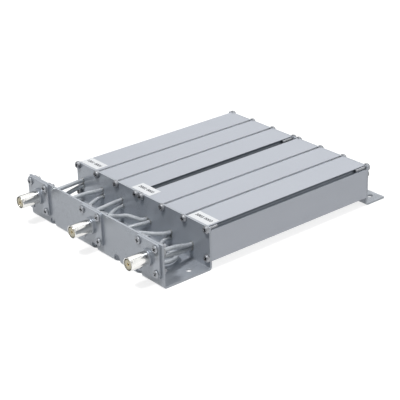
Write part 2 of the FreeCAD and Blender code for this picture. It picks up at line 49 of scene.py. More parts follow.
# Places shared with the CAD model, in metres
PORTS_X = (-74.7 * MM, -50.8 * MM, -26.9 * MM, -3.0 * MM, 3.0 * MM, 26.9 * MM, 50.8 * MM, 74.7 * MM)
UPPER_PORT_Z = 29.8 * MM
LOWER_PORT_Z = 8.4 * MM
PLATE_FRONT = -75.5 * MM
PLATE_REAR = 76.5 * MM
FLANGE_FRONT = -116.8 * MM
JACKS_X = (-67.6 * MM, -1.7 * MM, 62.9 * MM)
JACK_Z = 19.25 * MM
FLANGE_SCREW_OFFSET = 9.13 * MM
LABELS_X = (-64.7 * MM, -0.7 * MM, 63.0 * MM)
LABEL_FRONT = -73.7 * MM
LABEL_TOP = 31.92 * MM
LABEL_DEPTH = 10.5 * MM
NUMERALS = ("1001 0001", "2002 0002", "3003 0003")
NUMERAL_SIZE = 3.8 * MM
NUMERAL_BOLD = 0.035
PRINT_LENGTH = 16.4 * MM
PRINT_RISE = 0.02 * MM
PRINT_MIDDLE_SHARE = 0.52

# Pan-head screws with a cross recess; a head is its radius and height
PLATE_HEAD = (2.85 * MM, 2.4 * MM)
FLANGE_HEAD = (2.75 * MM, 1.5 * MM)
HEAD_ROUND_SHARE = 0.6
HEAD_SIDE_POINT = 0.3 * MM
HEAD_TOP_STEPS = 16
HEAD_SIDES = 72
RECESS_REACH = 1.7 * MM
RECESS_WIDTH = 1.05 * MM
RECESS_SHARE = 0.8
RECESS_EDGE = 0.16 * MM
RECESS_TIP_SHARE = 0.5
SHANK_R = 1.35 * MM
HEAD_UNDER_R = SHANK_R * 0.9
THREAD_PITCH = 0.5 * MM
THREAD_DEPTH = 0.2 * MM
FRONT_SHANK = 8.5 * MM
REAR_SHANK = 11.0 * MM
FLANGE_SHANK = 8.0 * MM

# Hexagon nuts; a nut is its width over the flats, its height and its bore radius
PANEL_REAR = -113.7 * MM
FLANGE_NUT = (5.5 * MM, 2.4 * MM, 1.38 * MM)
JACK_NUT = (14.0 * MM, 2.6 * MM, 4.33 * MM)
SPIGOT_NUT = (13.0 * MM, 4.0 * MM, 4.03 * MM)
LOCK_NUT = (8.0 * MM, 2.7 * MM, 2.58 * MM)
LOCK_NUT_STAND = 4.6 * MM
LOCK_SEAT = PLATE_REAR + LOCK_NUT_STAND
NUT_SLOPE = 0.58
NUT_CIRCLE_SHARE = 0.94

# Jack shells, as (radius, y from the mouth, rounding) in millimetres, and their two lugs
JACK_LENGTH = 16.1 * MM
MOUTH = FLANGE_FRONT - JACK_LENGTH
SHELL_PROFILE = ((4.07, 0, 0.25), (4.83, 0, 0.35), (4.83, 14.1, 0.15), (4.3, 14.1, 0.08), (4.3, 23, 0.03),
                 (4.2, 23, 0.03), (4.2, 28.6, 0.12), (3.5, 28.6, 0.12), (3.5, 23, 0.1), (2.92, 23, 0.1),
                 (2.92, 5.2, 0.1), (4.07, 5.2, 0.15))
LUG_R = 1.15 * MM
LUG_ROOT_R = 4.45 * MM
LUG_TIP_R = 5.51 * MM
LUG_ROUND = 0.3 * MM
LUG_SETBACK = 1.8 * MM
LUG_ANGLES = (math.radians(39), math.radians(219))

# Tuning screws
CAVITIES_X = (-62.75 * MM, -38.85 * MM, -14.95 * MM, 14.95 * MM, 38.85 * MM, 62.75 * MM)
TUNER_Z = 17.0 * MM
TUNER_R = 2.5 * MM
TUNER_START = -58.0 * MM
TUNER_THREAD_START = 70.0 * MM
TUNER_END = 91.5 * MM
TUNER_ROUND = 1.2 * MM
TUNER_SLOT = 0.8 * MM
TUNER_SLOT_DEPTH = 1.3 * MM
TUNER_END_STEPS = 14

# Meshes: points round a quarter circle, how near points are one point, the shortest edge, and where the point
# that guards a flat lies past a rounding, as a share of its radius
ROUNDING_STEPS = 9
SAME_POINT = 1e-7
SHORTEST_EDGE = 1e-8
FLAT_GUARD = 0.4


# Surfaces
def corner_rounded(points, radii, steps=4):
    """Profile whose corner P, for a radius r, becomes the curve (1-s)^2 A + 2 s (1-s) P + s^2 B, where A and B
    lie r from P along its two sides. A and B are doubled a little further out, so that flats stay flat when
    shaded."""
    points = np.array(points, float)
    before = np.roll(points, 1, axis=0) - points
    after = np.roll(points, -1, axis=0) - points
    before /= np.linalg.norm(before, axis=1)[:, None]
    after /= np.linalg.norm(after, axis=1)[:, None]
    reach = np.array(radii, float)[:, None]
    share = np.linspace(0, 1, steps + 1)[None, :, None]
    start = (points + before * reach)[:, None]
    end = (points + after * reach)[:, None]
    curve = (1 - share) ** 2 * start + 2 * share * (1 - share) * points[:, None] + share ** 2 * end
    lead_in = start + before[:, None] * reach[:, None] * FLAT_GUARD
    lead_out = end + after[:, None] * reach[:, None] * FLAT_GUARD
    return np.concatenate([lead_in, curve, lead_out], axis=1).reshape(-1, 2)


def surface(grids, wrap_u, wrap_v):
    """Points and four-sided faces of grids of shape (pieces, nu, nv, 3): each point joins its next neighbours in
    u and v, and the last joins the first where the grid wraps."""
    pieces, nu, nv, _ = grids.shape
    u = np.arange(nu if wrap_u else nu - 1)
    v = np.arange(nv if wrap_v else nv - 1)
    uu, vv = np.meshgrid(u, v, indexing="ij")
    un = (uu + 1) % nu
    vn = (vv + 1) % nv
    one = np.stack([uu * nv + vv, un * nv + vv, un * nv + vn, uu * nv + vn], axis=-1).reshape(-1, 4)
    faces = (one[None] + (np.arange(pieces) * nu * nv)[:, None, None]).reshape(-1, 4)
    return grids.reshape(-1, 3), faces


def piece(name, parts, material, body="housing", smooth=True, sunk=None):
    """Mesh object from several (points, faces) surfaces, with doubled points merged and faces turned outward.
    The attribute "sunk" tells the material how deep in a recess each point lies, from 0 to 1."""
    starts = np.cumsum([0] + [len(points) for points, _ in parts[:-1]])
    points = np.concatenate([p for p, _ in parts])
    faces = np.concatenate([f + s for (_, f), s in zip(parts, starts)])
    mesh = bpy.data.meshes.new(name)
    mesh.from_pydata(points, [], faces.tolist())
    if sunk is not None:
        depths = np.zeros(len(points), np.float32)
        depths[:sunk.size] = sunk.ravel()
        mesh.attributes.new("sunk", "FLOAT", "POINT").data.foreach_set("value", depths)
    work = bmesh.new()
    work.from_mesh(mesh)
    bmesh.ops.remove_doubles(work, verts=work.verts, dist=SAME_POINT)
    bmesh.ops.dissolve_degenerate(work, edges=work.edges, dist=SHORTEST_EDGE)
    bmesh.ops.recalc_face_normals(work, faces=work.faces)
    work.to_mesh(mesh)
    work.free()
    mesh.polygons.foreach_set("use_smooth", np.full(len(mesh.polygons), smooth))
    mesh.materials.append(material)
    made = bpy.data.objects.new(name, mesh)
    bpy.context.scene.collection.objects.link(made)
    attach(made, body)
    return made


def turned(profile, x, z, steps):
    """Surface of revolution about the line along Y through (x, z): a profile of (radius, y) points goes round at
    (x + radius cos a, y, z + radius sin a) for angle a."""
    angle = np.linspace(0, 2 * np.pi, steps, endpoint=False)[None, :]
    radius = profile[:, 0][:, None]
    along = np.broadcast_to(profile[:, 1][:, None], (len(profile), steps))
    grid = np.stack([x + radius * np.cos(angle), along, z + radius * np.sin(angle)], axis=-1)
    return surface(grid[None], False, True)


def cross_share(x, y):
    """Depth of a cross recess under the point (x, y), from 0 to 1: nothing outside two crossed bars, and inside
    them deepest in the middle and rising towards the tips."""
    across = np.minimum(np.abs(x), np.abs(y))
    along = np.maximum(np.abs(x), np.abs(y))
    side_wall = np.clip((RECESS_WIDTH / 2 - across) / RECESS_EDGE, 0, 1)
    end_wall = np.clip((RECESS_REACH - along) / RECESS_EDGE, 0, 1)
    return side_wall * end_wall * (1 - RECESS_TIP_SHARE * along / RECESS_REACH)


def pan_heads(places, seat, outward, turns, head):
    """Pan heads with a cross recess. In polar grid (radius, angle) the top is level out to its rounded rim, which
    falls along a quarter circle to the side, less the recess; each head is turned by its own angle. Gives the
    surface and how deep in the recess each point lies."""
    head_r, head_height = head
    rounding = HEAD_ROUND_SHARE * head_height
    inner = np.linspace(0, head_r - rounding, HEAD_TOP_STEPS)
    quarter = np.linspace(0, np.pi / 2, ROUNDING_STEPS)[1:]
    rim_r = head_r - rounding + rounding * np.sin(quarter)
    rim_height = head_height - rounding + rounding * np.cos(quarter)
    radius = np.concatenate([inner, rim_r, [head_r, head_r, HEAD_UNDER_R]])
    height = np.concatenate([np.full(len(inner), head_height), rim_height, [HEAD_SIDE_POINT, 0, 0]])
    angle = np.linspace(0, 2 * np.pi, HEAD_SIDES, endpoint=False)
    flat_x = radius[:, None] * np.cos(angle)
    flat_y = radius[:, None] * np.sin(angle)
    on_top = (np.arange(len(radius)) < len(inner) + len(quarter))[:, None]
    share = cross_share(flat_x, flat_y) * on_top
    sunk = height[:, None] - share * RECESS_SHARE * head_height
    cos_turn = np.cos(turns)[:, None, None]
    sin_turn = np.sin(turns)[:, None, None]
    x = places[:, 0, None, None] + flat_x * cos_turn - flat_y * sin_turn
    z = places[:, 1, None, None] + flat_x * sin_turn + flat_y * cos_turn
    y = np.broadcast_to(seat + outward * sunk, x.shape)
    return surface(np.stack([x, y, z], axis=-1), False, True), np.broadcast_to(share, x.shape)


def threaded_shanks(places, seat, inward, length, radius, pitch, depth, samples, sides):
    """Threaded rods: at distance s along the rod and angle a the radius falls by depth times a triangle wave of
    s / pitch - a / (2 pi), and both ends close at the axis."""
    count = int(length / pitch * samples)
    along = np.linspace(0, length, count)[:, None]
    angle = np.linspace(0, 2 * np.pi, sides, endpoint=False)[None, :]
    wave = np.abs(2 * ((along / pitch - angle / (2 * np.pi)) % 1) - 1)
    reach = radius - depth * wave
    reach = np.concatenate([np.zeros((1, sides)), reach, np.zeros((1, sides))])
    along = np.concatenate([along[:1], along, along[-1:]])
    x = places[:, 0, None, None] + reach * np.cos(angle)
    z = places[:, 1, None, None] + reach * np.sin(angle)
    y = np.broadcast_to(seat + inward * along, x.shape)
    return surface(np.stack([x, y, z], axis=-1), False, True)


def hexagon_nuts(places, seat, outward, nut, steps=96):
    """Hexagon nuts. At angle a the side lies at flats / 2 / cos(a mod 60 - 30 degrees), and a cone that starts on
    the circle inside the flats cuts the corners of the outer face: its depth there is the slope times
    radius - circle."""
    flats, height, bore = nut
    angle = np.linspace(0, 2 * np.pi, steps, endpoint=False)
    side = flats / 2 / np.cos(np.mod(angle, np.pi / 3) - np.pi / 6)
    circle = flats / 2 * NUT_CIRCLE_SHARE
    cut = NUT_SLOPE * (side - circle)
    bore_ring, circle_ring, seat_ring, top_ring = (np.full(steps, size) for size in (bore, circle, 0.0, height))
    radius = np.stack([bore_ring, bore_ring, circle_ring, side, side, bore_ring])
    rise = np.stack([seat_ring, top_ring, top_ring, height - cut, seat_ring, seat_ring])
    x = places[:, 0, None, None] + radius * np.cos(angle)
    z = places[:, 1, None, None] + radius * np.sin(angle)
    y = np.broadcast_to(seat + outward * rise, x.shape)
    return surface(np.stack([x, y, z], axis=-1), False, True)


def jack_lug(x, angle, steps=40):
    """Bayonet lug: a pin of radius LUG_R that stands out at an angle round the jack, its tip rounded by a
    quarter circle and closed in the middle."""
    quarter = np.linspace(0, np.pi / 2, 6)
    reach = np.concatenate([[0, LUG_R], LUG_R - LUG_ROUND + LUG_ROUND * np.cos(quarter), [0]])
    rise = np.concatenate([[LUG_ROOT_R] * 2, LUG_TIP_R - LUG_ROUND + LUG_ROUND * np.sin(quarter), [LUG_TIP_R]])
    turn = np.linspace(0, 2 * np.pi, steps, endpoint=False)
    outward = np.array([math.cos(angle), 0, math.sin(angle)])
    across = np.array([-math.sin(angle), 0, math.cos(angle)])
    middle = np.array([x, MOUTH + LUG_SETBACK, JACK_Z])
    ring = np.cos(turn)[:, None] * across + np.sin(turn)[:, None] * np.array([0, 1, 0])
    return surface((middle + rise[:, None, None] * outward + reach[:, None, None] * ring)[None], False, True)


def tuning_rod(x, steps=48, samples=8):
    """Tuning screw: a plain rod up to TUNER_THREAD_START, then a thread that lowers the radius by a triangle wave
    of length / pitch - angle / (2 pi), and an end rounded by a quarter circle with a slot across it. Gives the
    surface and how deep in the slot each point lies."""
    count = int((TUNER_END - TUNER_ROUND - TUNER_THREAD_START) / THREAD_PITCH * samples)
    along = np.linspace(TUNER_THREAD_START, TUNER_END - TUNER_ROUND, count)[:, None]
    angle = np.linspace(0, 2 * np.pi, steps, endpoint=False)[None, :]
    wave = np.abs(2 * ((along / THREAD_PITCH - angle / (2 * np.pi)) % 1) - 1)
    quarter = np.linspace(0, np.pi / 2, ROUNDING_STEPS)
    inner = np.linspace(TUNER_R - TUNER_ROUND, 0, TUNER_END_STEPS)[1:]
    end_r = np.concatenate([TUNER_R - TUNER_ROUND + TUNER_ROUND * np.cos(quarter), inner])
    end_y = np.concatenate([TUNER_END - TUNER_ROUND + TUNER_ROUND * np.sin(quarter),
                            np.full(len(inner), TUNER_END)])
    start = np.array([[0, TUNER_START], [TUNER_R, TUNER_START], [TUNER_R, TUNER_THREAD_START]])
    round_start = (len(start), steps)
    round_end = (len(end_r), steps)
    radius = np.concatenate([np.broadcast_to(start[:, :1], round_start), TUNER_R - THREAD_DEPTH * wave,
                             np.broadcast_to(end_r[:, None], round_end)])
    y = np.concatenate([np.broadcast_to(start[:, 1:], round_start), np.broadcast_to(along, (count, steps)),
                        np.broadcast_to(end_y[:, None], round_end)])
    dx = radius * np.cos(angle)
    dz = radius * np.sin(angle)
    near_end = y > TUNER_END - TUNER_ROUND - THREAD_PITCH
    in_slot = np.clip((TUNER_SLOT / 2 - np.abs(dz)) / RECESS_EDGE, 0, 1) * near_end
    floor_y = np.minimum(y, TUNER_END - TUNER_SLOT_DEPTH)
    grid = np.stack([x + dx, y + (floor_y - y) * in_slot, TUNER_Z + dz], axis=-1)
    return surface(grid[None], False, True), in_slot


# Shader helpers
def add(tree, kind, inputs, **settings):
    """New shader node: settings are its properties, inputs its sockets, each a constant or another node's
    output."""
    made = tree.nodes.new(kind)
    for key, value in settings.items():
        setattr(made, key, value)
    for key, value in inputs.items():
        if isinstance(value, bpy.types.NodeSocket):
            tree.links.new(value, made.inputs[key])
        else:
            made.inputs[key].default_value = value
    return made


def effect(name, inputs, outputs, fill):
    """Shader node group with named inputs (name: default) and outputs (name: type), built once by fill."""
    tree = bpy.data.node_groups.new(name, "ShaderNodeTree")
    for key, value in inputs.items():
        kind = "NodeSocketVector" if isinstance(value, tuple) else "NodeSocketFloat"
        tree.interface.new_socket(key, in_out="INPUT", socket_type=kind).default_value = value
    for key, kind in outputs.items():
        tree.interface.new_socket(key, in_out="OUTPUT", socket_type=kind)
    given = tree.nodes.new("NodeGroupInput").outputs
    result = tree.nodes.new("NodeGroupOutput").inputs
    for key, socket in fill(tree, given).items():
        tree.links.new(socket, result[key])
    return tree


def math_node(tree, operation, *values):
    """Sum, product, comparison or other operation on one or more values."""
    return add(tree, "ShaderNodeMath", dict(enumerate(values)), operation=operation).outputs[0]


def object_coordinates(tree, scale=(1, 1, 1)):
    """Place on the object in metres, squeezed by a scale along each axis."""
    place = add(tree, "ShaderNodeTexCoord", {}).outputs["Object"]
    return add(tree, "ShaderNodeMapping", {"Vector": place, "Scale": scale}).outputs[0]


def noise(tree, place, scale, detail):
    """Noise from 0 to 1 over a place in metres, so a scale of 1000 gives patches of about a millimetre."""
    return add(tree, "ShaderNodeTexNoise", {"Vector": place, "Scale": scale, "Detail": detail}).outputs[0]


# Effects: scales of their noises, and how far lines and rings are squeezed along their length
WEAR_SPOT_SCALE = 900
TONE_DRIFT_SCALE = 28
SPECK_SCALE = 5000
SPECK_SHARE = 0.4
LINE_SQUEEZE = 0.012
RING_SQUEEZE = 0.02


def fill_wear_and_highlight_edge(tree, given):
    """Mask of convex edges: how far the rounded normal leans from the true one, broken up by fine noise."""
    rounded = add(tree, "ShaderNodeBevel", {"Radius": given["Radius"]}, samples=4).outputs[0]
    true = add(tree, "ShaderNodeNewGeometry", {}).outputs["Normal"]
    match = add(tree, "ShaderNodeVectorMath", {0: rounded, 1: true}, operation="DOT_PRODUCT").outputs["Value"]
    lean = math_node(tree, "SUBTRACT", 1, match)
    spots = noise(tree, object_coordinates(tree), WEAR_SPOT_SCALE, 3)
    broken = math_node(tree, "MULTIPLY", math_node(tree, "MULTIPLY", lean, given["Amount"]), spots)
    return {"Mask": add(tree, "ShaderNodeClamp", {0: broken}).outputs[0], "Normal": rounded}


def fill_sprayed_grain(tree, given):
    """Fine orange peel of sprayed paint, with a slow drift of tone over a few centimetres."""
    place = object_coordinates(tree)
    drift = math_node(tree, "MULTIPLY", noise(tree, place, TONE_DRIFT_SCALE, 4), 1 - SPECK_SHARE)
    speck = math_node(tree, "MULTIPLY", noise(tree, place, SPECK_SCALE, 1), SPECK_SHARE)
    return {"Height": noise(tree, place, given["Peel scale"], 2), "Tone": math_node(tree, "ADD", drift, speck)}


def fill_drawn_lines(tree, given):
    """Faint lines along Y that a drawing die leaves: noise squeezed along the length."""
    return {"Lines": noise(tree, object_coordinates(tree, (1, LINE_SQUEEZE, 1)), given["Lines scale"], 3)}


def fill_turned_rings(tree, given):
    """Fine rings round Y that a lathe tool leaves: noise that changes along the length alone."""
    place = object_coordinates(tree, (RING_SQUEEZE, 1, RING_SQUEEZE))
    return {"Rings": noise(tree, place, given["Rings scale"], 3)}


def fill_port_wall(tree, given):
    """Mask of the walls inside two of a block's upper ports: those a spacing to each side of its middle, below
    the top face."""
    place = add(tree, "ShaderNodeSeparateXYZ", {0: add(tree, "ShaderNodeTexCoord", {}).outputs["Object"]}).outputs
    from_middle = math_node(tree, "SUBTRACT", math_node(tree, "ABSOLUTE", place[0]), given["Block middle"])
    from_port = math_node(tree, "SUBTRACT", math_node(tree, "ABSOLUTE", from_middle), given["Spacing"])
    near = math_node(tree, "LESS_THAN", math_node(tree, "ABSOLUTE", from_port), given["Reach"])
    above = math_node(tree, "GREATER_THAN", place[2], given["Floor"])
    below = math_node(tree, "LESS_THAN", place[2], given["Top"])
    return {"Mask": math_node(tree, "MULTIPLY", math_node(tree, "MULTIPLY", near, above), below)}


WEAR_AND_HIGHLIGHT_EDGE = effect("worn edge", {"Radius": 0.0003, "Amount": 2.0},
                   {"Mask": "NodeSocketFloat", "Normal": "NodeSocketVector"}, fill_wear_and_highlight_edge)
SPRAYED_GRAIN = effect("sprayed grain", {"Peel scale": 1400.0},
                       {"Height": "NodeSocketFloat", "Tone": "NodeSocketFloat"}, fill_sprayed_grain)
DRAWN_LINES = effect("drawn lines", {"Lines scale": 900.0}, {"Lines": "NodeSocketFloat"}, fill_drawn_lines)
PORT_WALL = effect("port wall",
                   {"Block middle": 0.03885, "Spacing": 0.01195, "Reach": 0.0024, "Floor": 0.0276, "Top": 0.03175},
                   {"Mask": "NodeSocketFloat"}, fill_port_wall)
TURNED_RINGS = effect("turned rings", {"Rings scale": 4000.0}, {"Rings": "NodeSocketFloat"}, fill_turned_rings)


def use(tree, group, **inputs):
    """Outputs of an effect placed in a material with its own values."""
    made = add(tree, "ShaderNodeGroup", {}, node_tree=group)
    for key, value in inputs.items():
        made.inputs[key.replace("_", " ")].default_value = value
    return made.outputs


def blend_colour(tree, factor, first, second):
    """Colour that goes from the first to the second as the factor goes from 0 to 1."""
    return add(tree, "ShaderNodeMix", {0: factor, 6: first, 7: second}, data_type="RGBA").outputs[2]


def span(tree, value, low, high):
    """Value from 0..1 carried to low..high."""
    return add(tree, "ShaderNodeMapRange", {0: value, 3: low, 4: high}).outputs[0]


def bump(tree, height, distance, strength, normal=None):
    """Normal tilted by a height of a given distance in metres, on top of another normal where there is one."""
    inputs = {"Height": height, "Distance": distance, "Strength": strength}
    if normal is not None:
        inputs["Normal"] = normal
    return add(tree, "ShaderNodeBump", inputs).outputs[0]


def material(name):
    """New material with its tree and its Principled shader."""
    made = bpy.data.materials.new(name)
    made.use_nodes = True
    shader = made.node_tree.nodes["Principled BSDF"]
    return made, made.node_tree, shader


# Finishes: edge wear that is partly painted highlight, depth in metres and strength of the bumps, and how far the
# roughness strays
PAINT_EDGE = {"Radius": 0.0003, "Amount": 1.4}
PAINT_PEEL = (0.00002, 0.35)
PAINT_UNEVEN = 0.05
METAL_EDGE = {"Radius": 0.00015, "Amount": 1.0}
METAL_DRIFT_SCALE = 300
METAL_UNEVEN = (0.7, 1.5)
METAL_BUMP = 0.3
# Painted shade in recesses: its dark colour, and the share of a recess's depth at which it is full
RECESS_SHADE_TONE = (0.02, 0.022, 0.025, 1)
RECESS_SHADE_FULL_DEPTH = 0.5
# Painted shade behind a place along Y: a darker grey colour, with rougher gloss
SHADE_BEHIND_TONE = (0.30, 0.31, 0.32, 1)
DULL_ROUGHNESS = 0.5
PLASTIC_UNEVEN = 0.06
PLASTIC_BUMP = 0.4


def satin_paint(name, dark, light, worn, roughness, metallic, lines_share, ports=()):
    """Sprayed grey paint on aluminium, with fine peel, uneven gloss, faint draw lines under it, lighter edges that
    are partly wear and partly painted highlight and, where asked for, walls of another tone inside the ports at a
    spacing from the block's middle, painted shade where that tone is dark."""
    made, tree, shader = material(name)
    grain = use(tree, SPRAYED_GRAIN)
    lines = use(tree, DRAWN_LINES)["Lines"]
    edge = use(tree, WEAR_AND_HIGHLIGHT_EDGE, **PAINT_EDGE)
    # lighter edges: partly wear, partly painted highlight
    colour = blend_colour(tree, edge["Mask"], blend_colour(tree, grain["Tone"], dark, light), worn)
    # a dark port wall tone is painted shade inside the deep ports
    for spacing, tone in ports:
        colour = blend_colour(tree, use(tree, PORT_WALL, Spacing=spacing)["Mask"], colour, tone)
    tree.links.new(colour, shader.inputs["Base Color"])
    drawn = math_node(tree, "MULTIPLY", lines, lines_share)
    uneven = math_node(tree, "ADD", drawn, math_node(tree, "MULTIPLY", grain["Tone"], 1 - lines_share))
    rough = span(tree, uneven, roughness - PAINT_UNEVEN, roughness + PAINT_UNEVEN)
    tree.links.new(rough, shader.inputs["Roughness"])
    height = math_node(tree, "ADD", grain["Height"], drawn)
    tree.links.new(bump(tree, height, *PAINT_PEEL, edge["Normal"]), shader.inputs["Normal"])
    shader.inputs["Metallic"].default_value = metallic
    return made


def bright_metal(name, dark, light, roughness, rings_depth, recess_shade=0, shade_behind=None):
    """Plated metal with lathe rings, a slight drift of tone and, where asked for, painted shade: a dark colour in
    its recesses, and a darker grey colour with rougher gloss behind a place along Y."""
    made, tree, shader = material(name)
    rings = use(tree, TURNED_RINGS)["Rings"]
    edge = use(tree, WEAR_AND_HIGHLIGHT_EDGE, **METAL_EDGE)
    drift = noise(tree, object_coordinates(tree), METAL_DRIFT_SCALE, 3)
    # lighter edges: partly wear, partly painted highlight
    colour = blend_colour(tree, edge["Mask"], blend_colour(tree, drift, dark, light), light)
    # painted shade: recesses darkened by how deep they lie
    if recess_shade:
        sunk = add(tree, "ShaderNodeAttribute", {}, attribute_name="sunk").outputs["Fac"]
        painted_recess_shade = add(tree, "ShaderNodeMapRange", {0: sunk, 2: RECESS_SHADE_FULL_DEPTH, 4: recess_shade}).outputs[0]
        colour = blend_colour(tree, painted_recess_shade, colour, RECESS_SHADE_TONE)
    rough = span(tree, rings, roughness * METAL_UNEVEN[0], roughness * METAL_UNEVEN[1])
    # painted shade: darker grey colour behind the place along Y
    if shade_behind is not None:
        along = add(tree, "ShaderNodeSeparateXYZ", {0: object_coordinates(tree)}).outputs[1]
        behind = math_node(tree, "GREATER_THAN", along, shade_behind)
        colour = blend_colour(tree, behind, colour, SHADE_BEHIND_TONE)
        rough = math_node(tree, "MAXIMUM", rough, math_node(tree, "MULTIPLY", behind, DULL_ROUGHNESS))
    tree.links.new(colour, shader.inputs["Base Color"])
    tree.links.new(rough, shader.inputs["Roughness"])
    tree.links.new(bump(tree, rings, rings_depth, METAL_BUMP, edge["Normal"]), shader.inputs["Normal"])
    shader.inputs["Metallic"].default_value = 1
    return made


def waxy_plastic(name, dark, light, roughness, scale, depth):
    """Plastic or rubber with a soft mottle and a little bump."""
    made, tree, shader = material(name)
    mottle = noise(tree, object_coordinates(tree), scale, 4)
    rough = span(tree, mottle, roughness - PLASTIC_UNEVEN, roughness + PLASTIC_UNEVEN)
    tree.links.new(blend_colour(tree, mottle, dark, light), shader.inputs["Base Color"])
    tree.links.new(rough, shader.inputs["Roughness"])
    tree.links.new(bump(tree, mottle, depth, PLASTIC_BUMP), shader.inputs["Normal"])
    return made


# Ports by their spacing from the block's middle, with the tone of their walls: lighter in the inner ports, painted
# shade in the deep outer ones
INNER_PORTS = (11.95 * MM, (0.64, 0.662, 0.70, 1))
OUTER_PORTS_PAINTED_SHADE = (35.85 * MM, (0.225, 0.25, 0.285, 1))

EXTRUSION_PAINT = satin_paint(
    "extrusion paint", (0.43, 0.455, 0.505, 1), (0.48, 0.505, 0.555, 1), worn=(0.60, 0.62, 0.65, 1),
    roughness=0.40, metallic=0.35, lines_share=0.8, ports=(INNER_PORTS, OUTER_PORTS_PAINTED_SHADE))
SHEET_PAINT = satin_paint(
    "sheet paint", (0.385, 0.415, 0.46, 1), (0.435, 0.465, 0.51, 1), worn=(0.66, 0.69, 0.73, 1),
    roughness=0.28, metallic=0.3, lines_share=0.1)
ZINC = bright_metal("zinc plate", (0.31, 0.32, 0.34, 1), (0.40, 0.41, 0.43, 1),
                    roughness=0.5, rings_depth=0.00001, recess_shade=0.95)
DULL_ZINC = bright_metal("dull zinc plate", (0.37, 0.385, 0.41, 1), (0.43, 0.445, 0.47, 1),
                         roughness=0.5, rings_depth=0.00001, recess_shade=0.97)
# jack shells behind the panel carry painted shade
NICKEL = bright_metal("bright nickel", (0.77, 0.765, 0.74, 1), (0.85, 0.845, 0.82, 1),
                      roughness=0.16, rings_depth=0.000004, shade_behind=PANEL_REAR)
SILVERED = bright_metal("silvered brass", (0.42, 0.42, 0.41, 1), (0.52, 0.52, 0.505, 1),
                        roughness=0.36, rings_depth=0.000006, recess_shade=0.9)
GOLD = bright_metal("gold plate", (0.75, 0.56, 0.24, 1), (0.83, 0.66, 0.34, 1),
                    roughness=0.16, rings_depth=0.000004)
BEAD = waxy_plastic("bead", (0.70, 0.64, 0.46, 1), (0.80, 0.75, 0.58, 1), roughness=0.45, scale=500, depth=0.00001)
JACKET = waxy_plastic("lead jacket", (0.44, 0.47, 0.50, 1), (0.55, 0.58, 0.615, 1),
                      roughness=0.27, scale=700, depth=0.00004)
PAPER = waxy_plastic("label paper", (0.74, 0.755, 0.775, 1), (0.80, 0.815, 0.83, 1),
                     roughness=0.6, scale=2500, depth=0.000005)
INK = waxy_plastic("label ink", (0.03, 0.035, 0.045, 1), (0.09, 0.095, 0.11, 1),
                   roughness=0.5, scale=2500, depth=0.000003)

SLOT_MATERIALS = {
    "painted_extrusion": EXTRUSION_PAINT,
    "painted_sheet": SHEET_PAINT,
    "zinc_steel": ZINC,
    "bright_nickel": NICKEL,
    "white_ptfe": BEAD,
    "gold_contact": GOLD,
    "plated_brass": SILVERED,
    "grey_jacket": JACKET,
    "label_paper": PAPER,
}
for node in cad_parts.values():
    for index, old in enumerate(node.data.materials):
        node.data.materials[index] = SLOT_MATERIALS[old.name.split(".")[0]]

# Screws and nuts
chance = np.random.default_rng(7)
block_places = np.array([(x, UPPER_PORT_Z) for x in PORTS_X])
corner_places = np.array([(PORTS_X[0], LOWER_PORT_Z), (PORTS_X[-1], LOWER_PORT_Z)])
flange_places = np.array([(x + a * FLANGE_SCREW_OFFSET, JACK_Z + b * FLANGE_SCREW_OFFSET)
                          for x in JACKS_X for a in (-1, 1) for b in (-1, 1)])


def screws(name, places, seat, outward, shank, head, metal):
    """Row of screws in place of a CAD node, each head turned by chance."""
    turns = chance.uniform(0, np.pi / 2, len(places))
    heads, sunk = pan_heads(places, seat, outward, turns, head)
    shanks = threaded_shanks(places, seat, -outward, shank, SHANK_R, THREAD_PITCH, THREAD_DEPTH, samples=5, sides=14)
    made = piece(name + "_detailed", [heads, shanks], metal, sunk=sunk)
    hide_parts(name)


def nuts(name, places, seat, nut, metal):
    """Row of nuts in place of a CAD node."""
    made = piece(name + "_detailed", [hexagon_nuts(places, seat, 1, nut)], metal, smooth=False)
    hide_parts(name)


plate_places = np.concatenate([block_places, corner_places])
jack_places = np.array([(x, JACK_Z) for x in JACKS_X])
cavity_places = np.array([(x, TUNER_Z) for x in CAVITIES_X])
screws("front_plate_screws", plate_places, PLATE_FRONT, -1, FRONT_SHANK, PLATE_HEAD, ZINC)
screws("rear_plate_screws", block_places, PLATE_REAR, 1, REAR_SHANK, PLATE_HEAD, ZINC)
screws("flange_screws", flange_places, FLANGE_FRONT, -1, FLANGE_SHANK, FLANGE_HEAD, DULL_ZINC)
nuts("flange_nuts", flange_places, PANEL_REAR, FLANGE_NUT, DULL_ZINC)
nuts("jack_nuts", jack_places, PANEL_REAR, JACK_NUT, SILVERED)
nuts("resonator_nuts", cavity_places, PLATE_REAR, SPIGOT_NUT, SILVERED)
nuts("tuning_lock_nuts", cavity_places, LOCK_SEAT, LOCK_NUT, SILVERED)

# Jack shells and tuning screws
shell = np.array(SHELL_PROFILE) * MM
shell_profile = corner_rounded(shell[:, :2], shell[:, 2])
shell_profile[:, 1] += MOUTH
shell_profile = np.concatenate([shell_profile, shell_profile[:1]])
for index, x in enumerate(JACKS_X):
    parts = [turned(shell_profile, x, JACK_Z, 96)] + [jack_lug(x, angle) for angle in LUG_ANGLES]
    jack = piece(f"jack_body_{index + 1}_detailed", parts, NICKEL)
    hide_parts(f"jack_body_{index + 1}")
for index, x in enumerate(CAVITIES_X):
    rod, sunk = tuning_rod(x)
    tuner = piece(f"tuning_screw_{index + 1}_detailed", [rod], SILVERED, f"tuner_{index + 1}",
                  sunk=sunk)
    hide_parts(f"tuning_screw_{index + 1}")


